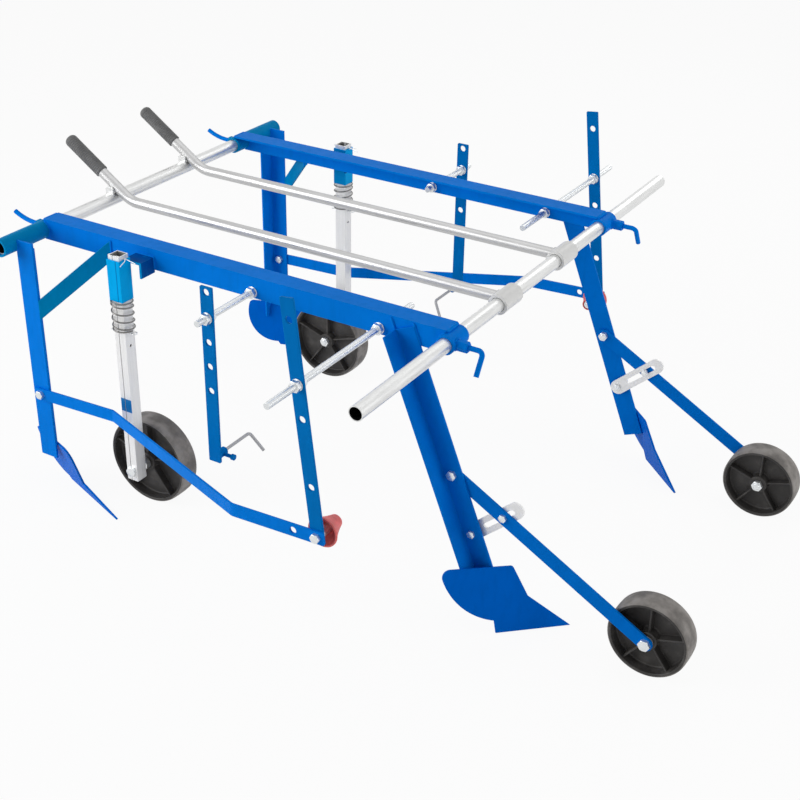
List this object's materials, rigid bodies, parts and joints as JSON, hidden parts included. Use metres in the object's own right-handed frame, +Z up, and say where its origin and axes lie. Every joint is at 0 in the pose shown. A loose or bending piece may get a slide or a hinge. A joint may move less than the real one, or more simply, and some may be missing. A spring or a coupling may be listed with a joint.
{
  "type": "mulch film layer",
  "caption": "Hand-pulled mulch film layer: angle-iron side frames clamped on cross tubes carry film cones, earth shares, depth wheels and sprung press wheels, with lifting handles.",
  "frame": {"origin": "on the ground under the middle of the overall box", "axes": "+X forward towards the depth wheels, +Y left, +Z up"},
  "size_m": [1.4544, 1.264, 0.6542],
  "materials": {
    "blue_paint": "gloss blue paint",
    "galvanised": "bright galvanised steel",
    "zinc": "zinc plated steel",
    "spring_steel": "drawn spring wire",
    "wheel_plastic": "dark moulded plastic",
    "grip_rubber": "ribbed dark rubber",
    "cone_plastic": "red moulded plastic"
  },
  "bodies": {
    "cross_tubes": {"front_tube": "galvanised", "rear_tube": "galvanised"},
    "left_frame": {"left_beam": "blue_paint", "left_front_sleeve": "blue_paint", "left_rear_sleeve": "blue_paint", "left_front_leg": "blue_paint", "left_rear_leg": "blue_paint", "left_leg_brace": "blue_paint", "left_front_share": "blue_paint", "left_rear_share": "blue_paint", "left_post_bracket": "blue_paint", "left_threaded_rods": "zinc", "left_hanger_strip": "blue_paint", "left_guide_strip": "blue_paint", "left_hanger_brace": "blue_paint", "left_guide_wire": "galvanised", "left_frame_fasteners": "zinc", "left_post_spring": "spring_steel"},
    "left_handle_body": {"left_handle": "galvanised", "left_grip": "grip_rubber"},
    "left_arm": {"left_wheel_arm": "blue_paint", "left_arm_bolts": "zinc"},
    "left_link": {"left_depth_link": "zinc"},
    "left_depth_wheel": {"left_front_wheel": "wheel_plastic"},
    "left_post_body": {"left_post": "galvanised", "left_post_fasteners": "zinc"},
    "left_packer_wheel": {"left_press_wheel": "wheel_plastic"},
    "left_cone": {"left_film_cone": "cone_plastic"},
    "left_front_screw": {"left_front_clamp_screw": "blue_paint"},
    "left_rear_screw": {"left_rear_clamp_screw": "blue_paint"},
    "right_frame": {"right_beam": "blue_paint", "right_front_sleeve": "blue_paint", "right_rear_sleeve": "blue_paint", "right_front_leg": "blue_paint", "right_rear_leg": "blue_paint", "right_leg_brace": "blue_paint", "right_front_share": "blue_paint", "right_rear_share": "blue_paint", "right_post_bracket": "blue_paint", "right_threaded_rods": "zinc", "right_hanger_strip": "blue_paint", "right_guide_strip": "blue_paint", "right_hanger_brace": "blue_paint", "right_guide_wire": "galvanised", "right_frame_fasteners": "zinc", "right_post_spring": "spring_steel"},
    "right_handle_body": {"right_handle": "galvanised", "right_grip": "grip_rubber"},
    "right_arm": {"right_wheel_arm": "blue_paint", "right_arm_bolts": "zinc"},
    "right_link": {"right_depth_link": "zinc"},
    "right_depth_wheel": {"right_front_wheel": "wheel_plastic"},
    "right_post_body": {"right_post": "galvanised", "right_post_fasteners": "zinc"},
    "right_packer_wheel": {"right_press_wheel": "wheel_plastic"},
    "right_cone": {"right_film_cone": "cone_plastic"},
    "right_front_screw": {"right_front_clamp_screw": "blue_paint"},
    "right_rear_screw": {"right_rear_clamp_screw": "blue_paint"}
  },
  "joints": [
    {"name": "left_width_slide", "type": "slide", "parent": "cross_tubes", "child": "left_frame", "axis": [0, 1, 0], "range_m": [-0.08, 0.08]},
    {"name": "left_handle_lift", "type": "hinge", "parent": "cross_tubes", "child": "left_handle_body", "pos_m": [0.26724, 0.113, 0.5185], "axis": [0, 1, 0], "range_deg": [0, 110]},
    {"name": "left_depth_swing", "type": "hinge", "parent": "left_frame", "child": "left_arm", "pos_m": [0.28724, 0.316, 0.277], "axis": [0, 1, 0], "range_deg": [-6, 6]},
    {"name": "left_link_swing", "type": "hinge", "parent": "left_frame", "child": "left_link", "pos_m": [0.32957, 0.3092, 0.17223], "axis": [0, 1, 0], "range_deg": [-6, 6]},
    {"name": "left_depth_roll", "type": "hinge", "parent": "left_arm", "child": "left_depth_wheel", "pos_m": [0.65524, 0.284, 0.072], "axis": [0, 1, 0], "continuous": true},
    {"name": "left_post_slide", "type": "slide", "parent": "left_frame", "child": "left_post_body", "axis": [0, 0, 1], "range_m": [0, 0.03], "stiffness_N_per_m": 4500, "springref_m": -0.03, "deforming": ["left_post_spring"]},
    {"name": "left_press_roll", "type": "hinge", "parent": "left_post_body", "child": "left_packer_wheel", "pos_m": [-0.38076, 0.314, 0.09], "axis": [0, 1, 0], "continuous": true},
    {"name": "left_cone_turn", "type": "hinge", "parent": "left_frame", "child": "left_cone", "pos_m": [0.17014, 0.517, 0.24301], "axis": [0, 1, 0], "continuous": true},
    {"name": "left_front_clamp", "type": "hinge", "parent": "left_frame", "child": "left_front_screw", "pos_m": [0.28724, 0.312, 0.5185], "axis": [1, 0, 0], "continuous": true},
    {"name": "left_rear_clamp", "type": "hinge", "parent": "left_frame", "child": "left_rear_screw", "pos_m": [-0.63276, 0.3, 0.5185], "axis": [1, 0, 0], "continuous": true},
    {"name": "right_width_slide", "type": "slide", "parent": "cross_tubes", "child": "right_frame", "axis": [0, -1, 0], "range_m": [-0.08, 0.08]},
    {"name": "right_handle_lift", "type": "hinge", "parent": "cross_tubes", "child": "right_handle_body", "pos_m": [0.26724, -0.113, 0.5185], "axis": [0, 1, 0], "range_deg": [0, 110]},
    {"name": "right_depth_swing", "type": "hinge", "parent": "right_frame", "child": "right_arm", "pos_m": [0.28724, -0.316, 0.277], "axis": [0, 1, 0], "range_deg": [-6, 6]},
    {"name": "right_link_swing", "type": "hinge", "parent": "right_frame", "child": "right_link", "pos_m": [0.32957, -0.3092, 0.17223], "axis": [0, 1, 0], "range_deg": [-6, 6]},
    {"name": "right_depth_roll", "type": "hinge", "parent": "right_arm", "child": "right_depth_wheel", "pos_m": [0.65524, -0.284, 0.072], "axis": [0, 1, 0], "continuous": true},
    {"name": "right_post_slide", "type": "slide", "parent": "right_frame", "child": "right_post_body", "axis": [0, 0, 1], "range_m": [0, 0.03], "stiffness_N_per_m": 4500, "springref_m": -0.03, "deforming": ["right_post_spring"]},
    {"name": "right_press_roll", "type": "hinge", "parent": "right_post_body", "child": "right_packer_wheel", "pos_m": [-0.38076, -0.314, 0.09], "axis": [0, 1, 0], "continuous": true},
    {"name": "right_cone_turn", "type": "hinge", "parent": "right_frame", "child": "right_cone", "pos_m": [0.17014, -0.517, 0.24301], "axis": [0, 1, 0], "continuous": true},
    {"name": "right_front_clamp", "type": "hinge", "parent": "right_frame", "child": "right_front_screw", "pos_m": [0.28724, -0.312, 0.5185], "axis": [1, 0, 0], "continuous": true},
    {"name": "right_rear_clamp", "type": "hinge", "parent": "right_frame", "child": "right_rear_screw", "pos_m": [-0.63276, -0.3, 0.5185], "axis": [1, 0, 0], "continuous": true}
  ],
  "couplings": [
    {"joint": "left_link_swing", "follows": "left_depth_swing", "ratio": 0.47146},
    {"joint": "right_link_swing", "follows": "right_depth_swing", "ratio": 0.47146}
  ]
}
